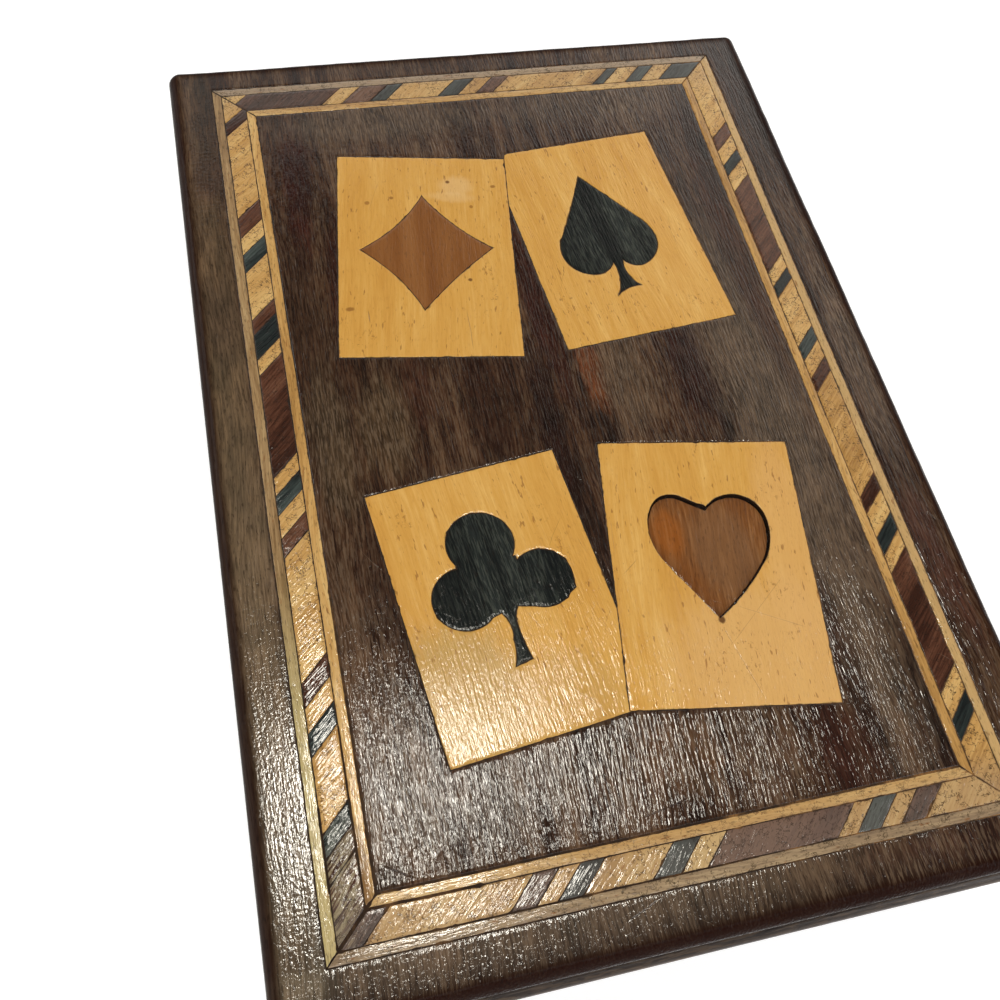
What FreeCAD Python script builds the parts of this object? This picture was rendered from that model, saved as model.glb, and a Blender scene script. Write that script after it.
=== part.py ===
"""Playing card box with drawer: a flat hardwood case for two decks, with an inlaid top.

Frame: +X to the right, +Y away from the drawer, +Z up, with the origin at the middle
of the underside of the case.  All sizes are in millimetres.

The marquetry is laid out on the top as it is drawn on the bench: from the corner that
is far from the drawer and on the left, x to the right and y towards the drawer.
"""
import FreeCAD, Part
import math
import os

Vector = FreeCAD.Vector

# The case: a top and a bottom board glued to three walls, open at the drawer end.
case_width = 105.0
case_length = 152.5
case_height = 35.0
corner_radius = 2.0
top_edge_radius = 1.5
bottom_edge_radius = 1.0
top_thickness = 4.0
backing_thickness = 1.5
bottom_thickness = 4.0
wall_thickness = 4.5
back_rabbet = 1.8
notch_radius = 11.0
notch_mouth_radius = 1.5

# The drawer: a rabbeted front, and a bottom that slides in grooves.
side_clearance = 0.3
top_clearance = 0.3
bottom_clearance = 0.2
back_clearance = 0.4
front_stands_out = 1.1
front_thickness = 6.0
front_edge_radius = 1.0
side_lap = 3.0
board_thickness = 2.2
back_lap = 1.2
floor_thickness = 2.0
floor_height = 1.0
floor_groove = 1.2
front_groove = 2.5
divider_thickness = 2.4
divider_dado = 1.0
scoop_radius = 14.0
scoop_depth = 9.0
cove_radius = 2.5
cove_length = 24.0

# The inlay: thin pieces let into the top with a hair of glue round each.
inlay_thickness = 1.2
glue_line = 0.1
heart_sinks = 0.5

# The border round the top, by its outer edge, and the three strips that it is made of.
border_left = 7.1
border_right = 97.7
border_far = 5.7
border_near = 145.8
string_width = 1.4
core_width = 3.7

# The core of the border: for each side, the woods in order and where each one is cut
# off, along the middle of the strip.  The last piece of a side runs into the corner.
core_cuts = {
    "left": [
        ("pale", 11.8), ("brown", 14.7), ("pale", 32.7), ("brown", 36.8), ("pale", 40.2),
        ("black", 43.8), ("pale", 52.9), ("brown", 55.6), ("black", 60.2), ("pale", 63.0),
        ("brown", 80.3), ("pale", 83.2), ("black", 86.3), ("pale", 89.8), ("brown", 92.7),
        ("pale", 110.5), ("brown", 113.7), ("pale", 117.0), ("black", 120.0),
        ("pale", 129.5), ("black", 132.4), ("brown", 135.4), ("brown", None),
    ],
    "near": [
        ("brown", 13.3), ("pale", 30.8), ("brown", 34.0), ("pale", 36.7), ("black", 39.8),
        ("pale", 48.7), ("black", 52.3), ("pale", 55.8), ("brown", 73.3), ("pale", 76.0),
        ("black", 79.3), ("pale", 82.2), ("brown", 85.8), ("pale", None),
    ],
    "right": [
        ("pale", 24.6), ("brown", 27.7), ("pale", 31.1), ("black", 33.6), ("pale", 37.2),
        ("brown", 55.1), ("pale", 57.9), ("black", 60.3), ("pale", 70.0), ("black", 72.8),
        ("pale", 76.1), ("brown", 78.8), ("pale", 97.3), ("brown", 100.1), ("pale", 104.0),
        ("black", 106.9), ("pale", 109.7), ("brown", 127.6), ("pale", 131.3),
        ("black", 134.3), ("pale", None),
    ],
    "far": [
        ("pale", 10.9), ("brown", 27.0), ("pale", 30.5), ("brown", 35.4), ("black", 38.2),
        ("pale", 47.4), ("black", 51.0), ("pale", 54.3), ("brown", 57.4), ("pale", 76.0),
        ("black", 78.1), ("pale", 82.1), ("black", 85.1), ("pale", 88.7), ("black", None),
    ],
}
slant = Vector(1, 1, 0)

# The four inlaid cards: middle, width, height, and turn in degrees, anticlockwise.
cards = {
    "diamond": {"middle": (37.25, 45.15), "width": 28.4, "height": 40.8, "turn": -7.8},
    "spade": {"middle": (67.97, 45.2), "width": 29.1, "height": 41.3, "turn": 5.35},
    "club": {"middle": (36.95, 105.3), "width": 28.5, "height": 39.9, "turn": 6.6},
    "heart": {"middle": (67.0, 105.95), "width": 29.2, "height": 40.4, "turn": -8.5},
}

# Heights and faces that follow from the sizes above.
half_width = case_width / 2
half_length = case_length / 2
top_underside = case_height - top_thickness
wall_top = top_underside - backing_thickness
inlay_floor = case_height - inlay_thickness
inside_half_width = half_width - wall_thickness
inside_back = half_length - wall_thickness

drawer_low = bottom_thickness + bottom_clearance
drawer_high = wall_top - top_clearance
drawer_half_width = inside_half_width - side_clearance
drawer_inside_half = drawer_half_width - board_thickness
front_face = -half_length - front_stands_out
front_back = front_face + front_thickness
drawer_end = inside_back - back_clearance
drawer_back_face = drawer_end - board_thickness
floor_low = drawer_low + floor_height
floor_high = floor_low + floor_thickness
divider_y = (front_back + drawer_back_face) / 2


def block(x0, x1, y0, y1, z0, z1):
    """A rectangular board between two corners."""
    return Part.makeBox(x1 - x0, y1 - y0, z1 - z0, Vector(x0, y0, z0))


def thicken(wire, z0, z1):
    """The solid between two heights that a flat closed wire encloses."""
    face = Part.Face(wire)
    face.translate(Vector(0, 0, z0))
    return face.extrude(Vector(0, 0, z1 - z0))


def polygon(points):
    """A closed wire through corner points."""
    return Part.makePolygon(list(points) + [points[0]])


def flowing_arcs(direction, *points):
    """Arcs through points given as (x, y), each running on smoothly from the last."""
    heading = Vector(*direction, 0).normalize()
    places = [Vector(x, y, 0) for x, y in points]
    arcs = []
    for start, end in zip(places, places[1:]):
        chord = (end - start).normalize()
        agreement = chord.dot(heading)
        bulge = start.distanceToPoint(end) / 2 * chord.cross(heading).z / (1 + agreement)
        middle = (start + end) / 2 + Vector(-chord.y, chord.x, 0) * bulge
        arcs.append(Part.Arc(start, middle, end).toShape())
        heading = chord * (2 * agreement) - heading
    return arcs


def arc(start, through, end):
    """A circular edge through three points given as (x, y)."""
    ends = [Vector(x, y, 0) for x, y in (start, through, end)]
    return Part.Arc(*ends).toShape()


def on_top(x, y):
    """A point of the layout on the top, in the frame of the box."""
    return Vector(x - half_width, half_length - y, 0)


# ---------------------------------------------------------------- the case

def rounded_slab(z0, z1):
    """The case's plan, with its rounded corners, between two heights."""
    slab = block(-half_width, half_width, -half_length, half_length, z0, z1)
    corners = [edge for edge in slab.Edges if is_upright(edge)]
    return slab.makeFillet(corner_radius, corners)


def is_upright(edge):
    low, high = edge.Vertexes[0].Point, edge.Vertexes[-1].Point
    return abs(low.x - high.x) < 1e-6 and abs(low.y - high.y) < 1e-6


def edges_at(shape, height):
    """The edges of a shape that lie flat at one height."""
    box = [edge.BoundBox for edge in shape.Edges]
    flat = [b.ZMax - b.ZMin < 1e-6 and abs(b.ZMin - height) < 1e-6 for b in box]
    return [edge for edge, keep in zip(shape.Edges, flat) if keep]


def top_panel():
    """The top board, rounded over all round, with shallow pockets for the inlay."""
    panel = rounded_slab(top_underside, case_height)
    panel = panel.makeFillet(top_edge_radius, edges_at(panel, case_height))
    panel = panel.cut(border_strip_ring())
    for name in cards:
        panel = panel.cut(card_block(name, 0, case_height + 1))
    return panel


def top_backing():
    """The thin pale board that the top is glued on; its edge shows as a light line."""
    return rounded_slab(wall_top, top_underside)


def bottom_board():
    """The base, with a half-round notch under the drawer for a fingertip."""
    notch = Part.makeCylinder(notch_radius, bottom_thickness, Vector(0, -half_length, 0))
    board = rounded_slab(0, bottom_thickness).cut(notch)
    mouth = [edge for edge in board.Edges if is_upright(edge)
             and abs(abs(edge.Vertexes[0].X) - notch_radius) < 1e-6]
    board = board.makeFillet(notch_mouth_radius, mouth)
    return board.makeFillet(bottom_edge_radius, edges_at(board, 0))


def side_wall(side):
    """A long wall, side -1 or +1, rabbeted at its far end to take the back wall."""
    inner, outer = sorted((side * inside_half_width, side * half_width))
    wall = block(inner, outer, -half_length, half_length, bottom_thickness, wall_top)
    wall = wall.common(rounded_slab(bottom_thickness, wall_top))
    return wall.cut(back_board(back_rabbet))


def back_board(lap):
    """The back wall's board, reaching into each side wall by the lap."""
    reach = inside_half_width + lap
    return block(-reach, reach, inside_back, half_length, bottom_thickness, wall_top)


def back_wall():
    return back_board(back_rabbet)


# ---------------------------------------------------------------- the border

def border_corners(inset):
    """The border's rectangle moved inwards, clockwise from its far left corner."""
    left, right = border_left + inset, border_right - inset
    far, near = border_far + inset, border_near - inset
    return [on_top(left, far), on_top(right, far), on_top(right, near), on_top(left, near)]


def border_width():
    return 2 * string_width + core_width + 2 * glue_line


def border_strip_ring():
    """The channel for the whole border, cut down from the surface of the top."""
    outer = thicken(polygon(border_corners(-glue_line)), inlay_floor, case_height + 1)
    inner = thicken(polygon(border_corners(border_width() + glue_line)), inlay_floor,
                    case_height + 1)
    return outer.cut(inner)


def mitred_strip(side, outer, inner):
    """One side of the border between two insets, mitred at both ends."""
    first = ["far", "right", "near", "left"].index(side)
    second = (first + 1) % 4
    outside, inside = border_corners(outer), border_corners(inner)
    along = (outside[second] - outside[first]).normalize() * glue_line
    corners = [outside[first] + along, outside[second] - along,
               inside[second] - along, inside[first] + along]
    return thicken(polygon(corners), inlay_floor, case_height)


def outer_string(side):
    return mitred_strip(side, 0, string_width)


def inner_string(side):
    return mitred_strip(side, border_width() - string_width, border_width())


def core_middle(side, distance):
    """A point on the middle line of one side of the core."""
    inset = border_width() / 2
    if side in ("left", "right"):
        x = border_left + inset if side == "left" else border_right - inset
        return on_top(x, distance)
    y = border_far + inset if side == "far" else border_near - inset
    return on_top(distance, y)


def slanted_piece(side, start, end):
    """A strip of the core between two slanted cuts; it is longer than the core is wide."""
    along = (core_middle(side, end) - core_middle(side, start)).normalize() * (glue_line / 2)
    first = core_middle(side, start) + along
    last = core_middle(side, end) - along
    reach = slant * core_width
    corners = [first - reach, last - reach, last + reach, first + reach]
    return thicken(polygon(corners), inlay_floor, case_height)


def core_pieces(side, wood):
    """All pieces of one wood in one side of the core, each a separate solid."""
    inset = string_width + glue_line
    strip = mitred_strip(side, inset, inset + core_width)
    side_start, side_end = -core_width, case_length + core_width
    pieces = []
    start = side_start
    for piece_wood, cut in core_cuts[side]:
        end = side_end if cut is None else cut
        if piece_wood == wood:
            pieces += strip.common(slanted_piece(side, start, end)).Solids
        start = end
    return Part.makeCompound(pieces)


# ---------------------------------------------------------------- the cards

def place_on_card(shape, name):
    """Move a shape from a card's own axes to its place on the top."""
    card = cards[name]
    middle = on_top(*card["middle"])
    turn = FreeCAD.Rotation(Vector(0, 0, 1), card["turn"])
    shape.Placement = FreeCAD.Placement(middle, turn)
    return shape


def card_block(name, shrink, height):
    """The rectangle of a card, shrunk all round, from the pocket's floor upwards."""
    x = cards[name]["width"] / 2 - shrink
    y = cards[name]["height"] / 2 - shrink
    return place_on_card(block(-x, x, -y, y, inlay_floor, height), name)


def card_panel(name, lies_over=None):
    """One inlaid card with the hole for its pip, trimmed where another card laps it."""
    panel = card_block(name, glue_line, case_height)
    if lies_over:
        panel = panel.cut(card_block(lies_over, 0, case_height))
    return panel.cut(pip_solid(name, 0, case_height))


def pip_solid(name, shrink, height):
    """A pip's solid, a little smaller all round when it is shrunk to fit its hole."""
    wire = pip_outlines[name]()
    if shrink:
        wire = wire.makeOffset2D(-shrink)
    return place_on_card(thicken(wire, inlay_floor, height), name)


def diamond_outline():
    """Four corners joined by shallow hollow arcs."""
    top, right, bottom, left = (-0.3, 12.0), (10.9, 0.9), (-0.8, -11.6), (-10.7, 0.4)
    return Part.Wire([
        arc(top, (4.8, 5.7), right), arc(right, (4.7, -5.1), bottom),
        arc(bottom, (-5.1, -4.9), left), arc(left, (-4.8, 5.4), top),
    ])


def spade_outline():
    """A point, two hanging lobes, and a stem that flares to its foot."""
    tip, left_join, right_join = (-0.9, 13.1), (-1.4, -6.0), (0.4, -5.8)
    left_foot, right_foot = (-3.1, -12.6), (1.6, -11.4)
    left_side = flowing_arcs((-0.46, -0.89), tip, (-8.3, 0.5), (-9.2, -3.2), (-5.2, -7.7),
                             left_join)
    right_side = flowing_arcs((0.55, -0.83), tip, (6.4, 2.0), (7.6, -2.6), (3.9, -7.4),
                              right_join)
    stem = [arc(left_join, (-1.6, -9.6), left_foot),
            arc(left_foot, (-1.0, -11.6), right_foot),
            arc(right_foot, (0.3, -9.0), right_join)]
    return Part.Wire(Part.__sortEdges__(left_side + stem + right_side))


def heart_outline():
    """Two lobes that meet in a notch, and sides that run down to a point."""
    notch, tip = (0.4, 9.35), (-0.3, -7.7)
    left_side = flowing_arcs((-0.9, 0.44), notch, (-3.2, 11.1), (-7.5, 9.9), (-8.6, 6.0),
                             (-6.7, 0.6), tip)
    right_side = flowing_arcs((0.6, 0.8), notch, (5.3, 11.3), (9.2, 7.2), (7.5, 0.4), tip)
    return Part.Wire(Part.__sortEdges__(left_side + right_side))


def disc(middle, radius):
    circle = Part.makeCircle(radius, Vector(middle[0], middle[1], 0))
    return Part.Face(Part.Wire(circle))


def flat_face(*corners):
    return Part.Face(polygon([Vector(x, y, 0) for x, y in corners]))


def club_outline():
    """Three round leaves, filled between them, on a short bent stem."""
    between = flat_face((-5.2, 6.2), (-3.8, -2.6), (-1.3, -2.1), (1.1, -1.7), (4.0, -2.6),
                        (3.4, 5.5))
    blunt_corner = flat_face((10.2, 1.3), (6.0, 1.3), (6.8, -2.9), (9.9, -1.4))
    left_root, left_bend, left_foot = (-1.6, -1.6), (-0.9, -6.0), (-1.9, -9.7)
    right_root, right_bend, right_foot = (1.4, -1.6), (0.4, -4.5), (0.8, -9.3)
    stem = Part.Face(Part.Wire([
        arc(left_root, (-0.6, -4.2), left_bend), arc(left_bend, (-1.2, -8.0), left_foot),
        Part.makeLine(Vector(*left_foot, 0), Vector(*right_foot, 0)),
        arc(right_foot, (0.5, -6.9), right_bend), arc(right_bend, (0.6, -3.0), right_root),
        Part.makeLine(Vector(*right_root, 0), Vector(*left_root, 0)),
    ]))
    top_leaf = disc((-0.8, 8.5), 4.85)
    leaves = top_leaf.multiFuse([
        disc((-5.3, 1.3), 4.6), disc((5.9, 1.25), 4.35), between, blunt_corner, stem])
    return leaves.removeSplitter().Faces[0].OuterWire


pip_outlines = {
    "diamond": diamond_outline,
    "spade": spade_outline,
    "club": club_outline,
    "heart": heart_outline,
}


# ---------------------------------------------------------------- the drawer

def floor_board(side_reach, front_reach):
    """The drawer's bottom, reaching into the grooves of the sides and the front."""
    half = drawer_inside_half + side_reach
    return block(-half, half, front_back - front_reach, drawer_end, floor_low, floor_high)


def drawer_bottom():
    return floor_board(floor_groove - glue_line, front_groove - glue_line)


def drawer_front():
    """The front, with soft edges, rebates for the sides and a cove to pull it by."""
    front = block(-drawer_half_width, drawer_half_width, front_face, front_back,
                  drawer_low, drawer_high)
    outside = [edge for edge in front.Edges if edge.BoundBox.YMax < front_face + 1e-6]
    front = front.makeFillet(front_edge_radius, outside)
    for side in (-1, 1):
        front = front.cut(side_blank(side))
    front = front.cut(floor_board(floor_groove, front_groove))
    cove = Part.makeCylinder(cove_radius, cove_length,
                             Vector(-cove_length / 2, front_face + front_thickness / 2, drawer_low),
                             Vector(1, 0, 0))
    return front.cut(cove)


def side_blank(side):
    """A plain drawer side, side -1 or +1, from its lap in the front to the end."""
    x0, x1 = sorted((side * drawer_inside_half, side * drawer_half_width))
    return block(x0, x1, front_back - side_lap, drawer_end, drawer_low, drawer_high)


def drawer_side(side):
    """A drawer side with its floor groove, divider dado and rebate for the back."""
    board = side_blank(side)
    board = board.cut(floor_board(floor_groove, front_groove))
    board = board.cut(divider_blank(divider_dado))
    return board.cut(back_blank(back_lap))


def back_blank(lap):
    half = drawer_inside_half + lap
    return block(-half, half, drawer_back_face, drawer_end, floor_high, drawer_high)


def drawer_back():
    return back_blank(back_lap)


def divider_blank(reach):
    half = drawer_inside_half + reach
    y0, y1 = divider_y - divider_thickness / 2, divider_y + divider_thickness / 2
    return block(-half, half, y0, y1, floor_high, drawer_high)


def drawer_divider():
    """The partition between the two decks, scooped so that fingers can lift them."""
    scoop = Part.makeCylinder(scoop_radius, divider_thickness + 2,
                              Vector(0, divider_y - divider_thickness / 2 - 1,
                                     drawer_high - scoop_depth + scoop_radius),
                              Vector(0, 1, 0))
    return divider_blank(divider_dado).cut(scoop)


# ---------------------------------------------------------------- all the pieces

def all_pieces():
    """Every piece by name."""
    pieces = {
        "top_panel": top_panel(),
        "top_backing": top_backing(),
        "bottom_board": bottom_board(),
        "left_wall": side_wall(-1),
        "right_wall": side_wall(1),
        "back_wall": back_wall(),
        "diamond_card": card_panel("diamond"),
        "spade_card": card_panel("spade", lies_over="diamond"),
        "club_card": card_panel("club", lies_over="heart"),
        "heart_card": card_panel("heart"),
        "drawer_front": drawer_front(),
        "drawer_left_side": drawer_side(-1),
        "drawer_right_side": drawer_side(1),
        "drawer_back": drawer_back(),
        "drawer_bottom": drawer_bottom(),
        "drawer_divider": drawer_divider(),
    }
    for name in cards:
        sinks = heart_sinks if name == "heart" else 0
        pieces[name + "_pip"] = pip_solid(name, glue_line, case_height - sinks)
    for side in core_cuts:
        pieces["outer_string_" + side] = outer_string(side)
        pieces["inner_string_" + side] = inner_string(side)
        for wood in ("pale", "brown", "black"):
            pieces["band_%s_%s" % (side, wood)] = core_pieces(side, wood)
    return pieces


os.makedirs("parts", exist_ok=True)
for name, shape in all_pieces().items():
    if not shape.isValid():
        raise ValueError(name + " is not a sound solid")
    shape.exportStep(os.path.join("parts", name + ".step"))
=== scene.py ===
"""The looks of a wooden playing card box with a drawer and a marquetry top.

Outlines are worked on in millimetres and turned into metres when a mesh is made.
Places on the top are given as the distance from its left edge and from its far edge.
"""

import math
import random

import bmesh
import bpy
import numpy as np
from mathutils import Matrix, Vector, geometry, kdtree, noise


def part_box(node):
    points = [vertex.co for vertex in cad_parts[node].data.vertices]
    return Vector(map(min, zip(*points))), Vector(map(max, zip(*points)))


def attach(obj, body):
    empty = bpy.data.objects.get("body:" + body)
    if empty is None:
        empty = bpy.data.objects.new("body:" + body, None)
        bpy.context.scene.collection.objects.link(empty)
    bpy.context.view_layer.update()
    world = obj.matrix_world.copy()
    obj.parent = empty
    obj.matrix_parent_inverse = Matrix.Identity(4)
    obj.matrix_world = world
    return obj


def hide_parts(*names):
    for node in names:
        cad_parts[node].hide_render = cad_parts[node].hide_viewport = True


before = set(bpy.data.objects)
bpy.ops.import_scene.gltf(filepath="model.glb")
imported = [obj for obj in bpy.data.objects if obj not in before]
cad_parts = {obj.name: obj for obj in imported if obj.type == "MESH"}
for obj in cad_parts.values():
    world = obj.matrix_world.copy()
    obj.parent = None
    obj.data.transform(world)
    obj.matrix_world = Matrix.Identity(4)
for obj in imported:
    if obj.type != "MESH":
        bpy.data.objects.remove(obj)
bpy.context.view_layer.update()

MM = 0.001
weld_distance = 2e-6
case_low, case_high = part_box("top_panel")
half_width = case_high.x / MM
half_length = case_high.y / MM
top_height = case_high.z / MM
top_underside = case_low.z / MM
inlay_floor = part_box("diamond_card")[0].z / MM
front_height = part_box("drawer_front")[1].z / MM
corner_radius = 2.0
top_edge_radius = 1.5


def on_top(x, y):
    """A place on the top, from its left and far edges, as x and y of the frame."""
    return x - half_width, half_length - y


# ---------------------------------------------------------------- camera and room

# The camera's place and directions, worked out from the photograph's vanishing points.
camera_place = Vector((-39.5, -75.55, 163.5)) * MM
camera_right = Vector((0.97212, -0.21274, 0.09862))
camera_up = Vector((0.14734, 0.88134, 0.44893))
camera_lens = 36.63
sensor_width = 36.0
# How bright the lamp is whose glare lies on the top.
key_glare = 42.0


def make_camera():
    """The camera at the photograph's place and angle."""
    data = bpy.data.cameras.new("camera")
    data.lens = camera_lens
    data.sensor_width = sensor_width
    data.clip_start = 0.005
    data.clip_end = 50.0
    camera = bpy.data.objects.new("camera", data)
    bpy.context.scene.collection.objects.link(camera)
    right = camera_right.normalized()
    back = right.cross(camera_up).normalized()
    turn = Matrix((right, back.cross(right), back)).transposed().to_4x4()
    camera.matrix_world = Matrix.Translation(camera_place) @ turn
    bpy.context.scene.camera = camera


def softbox(name, place, aim, width, depth, radiance, colour=(1.0, 1.0, 1.0)):
    """A rectangular lamp at a place, facing an aim, both in millimetres."""
    data = bpy.data.lights.new(name, "AREA")
    data.shape = "RECTANGLE"
    data.size = width * MM
    data.size_y = depth * MM
    data.energy = radiance * math.pi * data.size * data.size_y
    data.color = colour
    lamp = bpy.data.objects.new(name, data)
    bpy.context.scene.collection.objects.link(lamp)
    lamp.location = Vector(place) * MM
    lamp.rotation_euler = (Vector(aim) - Vector(place)).to_track_quat("-Z", "Y").to_euler()
    lamp.visible_camera = False


def make_lights():
    """A dim room, soft lamps all round, and a small bright one for the glare on the top."""
    world = bpy.data.worlds.new("room")
    world.use_nodes = True
    background = world.node_tree.nodes["Background"]
    background.inputs["Color"].default_value = (1.0, 0.98, 0.95, 1.0)
    background.inputs["Strength"].default_value = 0.08
    bpy.context.scene.world = world
    middle = (0, 0, top_height)
    softbox("front_left_softbox", (-620, -760, 640), middle, 700, 600, 4.0)
    softbox("front_right_softbox", (760, -560, 560), middle, 600, 600, 4.0)
    softbox("front_overhead_softbox", (0, -620, 1050), middle, 700, 500, 2.6)
    softbox("back_left_softbox", (-760, 520, 480), middle, 500, 500, 3.4)
    softbox("overhead_softbox", (32, 165, 1200), middle, 150, 190, key_glare, (1.0, 0.95, 0.84))
    softbox("far_right_softbox", (700, 620, 760), (30, 20, top_height), 700, 500, 0.8,
            (1.0, 0.93, 0.82))
    softbox("far_softbox", (60, 1000, 850), middle, 1300, 180, 0.6, (1.0, 0.96, 0.92))


make_camera()
make_lights()


# ---------------------------------------------------------------- shader kit

def paint(red, green, blue):
    """An sRGB colour, 0 to 255 in each part, as the linear colour that nodes take."""
    parts = []
    for part in (red, green, blue):
        part /= 255
        parts.append(part / 12.92 if part <= 0.04045 else ((part + 0.055) / 1.055) ** 2.4)
    return (*parts, 1.0)


class Shader:
    """A material whose nodes are made by short calls. Values may be sockets or numbers."""

    def __init__(self, name):
        self.material = bpy.data.materials.new(name)
        self.material.use_nodes = True
        self.nodes = self.material.node_tree.nodes
        self.links = self.material.node_tree.links
        self.nodes.clear()
        self.ragged = None
        self.place = self.vector("MULTIPLY", self.node("ShaderNodeTexCoord").outputs["Object"],
                                 (1 / MM, 1 / MM, 1 / MM))

    def node(self, kind, values=(), **settings):
        """A node with its settings, and its inputs by number or name fed with values."""
        made = self.nodes.new(kind)
        for key, value in settings.items():
            setattr(made, key, value)
        for key, value in dict(values).items():
            if isinstance(value, bpy.types.NodeSocket):
                self.links.new(value, made.inputs[key])
            else:
                made.inputs[key].default_value = value
        return made

    def math(self, operation, a, b=0.0, c=0.0, clamp=False):
        return self.node("ShaderNodeMath", {0: a, 1: b, 2: c}, operation=operation,
                         use_clamp=clamp).outputs[0]

    def times(self, a, b, clamp=False):
        return self.math("MULTIPLY", a, b, clamp=clamp)

    def sway(self, value, amount, base):
        """The base, moved by an amount times how far the value is from 0.5."""
        return self.math("MULTIPLY_ADD", self.math("SUBTRACT", value, 0.5), amount, base)

    def vector(self, operation, a, b=(0.0, 0.0, 0.0)):
        made = self.node("ShaderNodeVectorMath", {0: a, 1: b}, operation=operation)
        return made.outputs["Value" if operation == "LENGTH" else "Vector"]

    def turned(self, vector, degrees):
        """The vector seen from a frame that is turned about +Z by an angle."""
        values = {"Vector": vector, "Angle": -math.radians(degrees)}
        return self.node("ShaderNodeVectorRotate", values, rotation_type="Z_AXIS").outputs[0]

    def along_x(self, value):
        return self.node("ShaderNodeCombineXYZ", {"X": value}).outputs[0]

    def split(self, vector):
        return self.node("ShaderNodeSeparateXYZ", {0: vector}).outputs

    def noise(self, vector, stretch, detail=2.0, rough=0.5):
        """Noise about 0.5; the stretch is how many of its waves go into a millimetre."""
        values = {"Vector": self.vector("MULTIPLY", vector, stretch), "Scale": 1.0,
                  "Detail": detail, "Roughness": rough}
        return self.node("ShaderNodeTexNoise", values).outputs[0]

    def remap(self, value, low, high, out_low=0.0, out_high=1.0):
        values = enumerate((value, low, high, out_low, out_high))
        return self.node("ShaderNodeMapRange", values,
                         interpolation_type="SMOOTHSTEP").outputs[0]

    def mix(self, share, a, b):
        return self.node("ShaderNodeMix", {0: share, 6: a, 7: b}, data_type="RGBA").outputs[2]

    def tint(self, share, colour, tone, shade=None):
        """The colour with a share of an sRGB tone, which a shade may darken or lighten."""
        tone = paint(*tone)
        return self.mix(share, colour, self.vector("MULTIPLY", shade, tone[:3]) if shade else tone)

    def ramp(self, value, stops):
        """Colours by value; the stops are pairs of a value and an sRGB colour."""
        made = self.node("ShaderNodeValToRGB", {0: value})
        elements = made.color_ramp.elements
        elements.remove(elements[1])
        elements[0].position = stops[0][0]
        elements[0].color = paint(*stops[0][1])
        for position, colour in stops[1:]:
            elements.new(position).color = paint(*colour)
        return made.outputs[0]

    def attribute(self, name):
        return self.node("ShaderNodeAttribute", attribute_name=name).outputs["Fac"]

    def blot(self, middle, reach, degrees=0.0, soft=0.35, ragged=0.5):
        """A mask, 1 inside a ragged oval on the top, which is 0 outside it."""
        x, y = on_top(*middle)
        away = self.turned(self.vector("SUBTRACT", self.place, (x, y, 0.0)), degrees)
        scaled = self.vector("MULTIPLY", away, (1 / reach[0], 1 / reach[1], 0.0))
        if self.ragged is None:
            self.ragged = self.noise(self.place, (1.1, 0.16, 1.1), detail=5.0, rough=0.7)
        radius = self.sway(self.ragged, ragged * 2, self.vector("LENGTH", scaled))
        return self.remap(radius, 1 - soft, 1 + soft, 1.0, 0.0)

    def finish(self, colour, roughness, height, specular):
        """The material with its surface joined up; the height is in millimetres."""
        bump = self.node("ShaderNodeBump", {"Strength": 1.0, "Distance": MM, "Height": height})
        shader = self.node("ShaderNodeBsdfPrincipled", {
            "Base Color": colour, "Roughness": roughness, "Specular IOR Level": specular,
            "Normal": bump.outputs[0]})
        self.node("ShaderNodeOutputMaterial", {"Surface": shader.outputs[0]})
        return self.material


# ---------------------------------------------------------------- floor and backdrop

def make_stage():
    """A pale floor with a low wall far round it, which keeps the object's shadow."""
    wall_radius, wall_height, cove, steps = 3.0, 2.0, 0.3, 64
    bm = bmesh.new()
    rings = []
    for radius, height in ((0.4, 0.0), (1.4, 0.0), (wall_radius - cove, 0.0),
                           (wall_radius, cove), (wall_radius, wall_height)):
        rings.append([bm.verts.new((radius * math.cos(2 * math.pi * i / steps),
                                    radius * math.sin(2 * math.pi * i / steps), height))
                      for i in range(steps)])
    bm.faces.new(rings[0])
    for inner, outer in zip(rings, rings[1:]):
        for i in range(steps):
            j = (i + 1) % steps
            bm.faces.new((inner[i], outer[i], outer[j], inner[j]))
    mesh = bpy.data.meshes.new("floor")
    bm.to_mesh(mesh)
    bm.free()
    floor = bpy.data.objects.new("floor", mesh)
    bpy.context.scene.collection.objects.link(floor)
    shader = Shader("pale_floor")
    path = shader.node("ShaderNodeLightPath").outputs
    seen = shader.math("ADD", path["Is Camera Ray"], path["Is Glossy Ray"])
    seen = shader.math("ADD", seen, path["Is Transmission Ray"], clamp=True)
    diffuse = shader.node("ShaderNodeBsdfDiffuse", {"Color": (0.62, 0.62, 0.62, 1.0)})
    # The floor's own glow is full where the lamps no longer reach.
    far = shader.remap(shader.vector("LENGTH", shader.place), 700.0, 1600.0, 0.6, 1.0)
    glow = shader.node("ShaderNodeEmission", {"Strength": shader.times(seen, far)})
    both = shader.node("ShaderNodeAddShader", {0: diffuse.outputs[0], 1: glow.outputs[0]})
    shader.node("ShaderNodeOutputMaterial", {"Surface": both.outputs[0]})
    mesh.materials.append(shader.material)


make_stage()


# ---------------------------------------------------------------- woods

woods = {}


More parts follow.
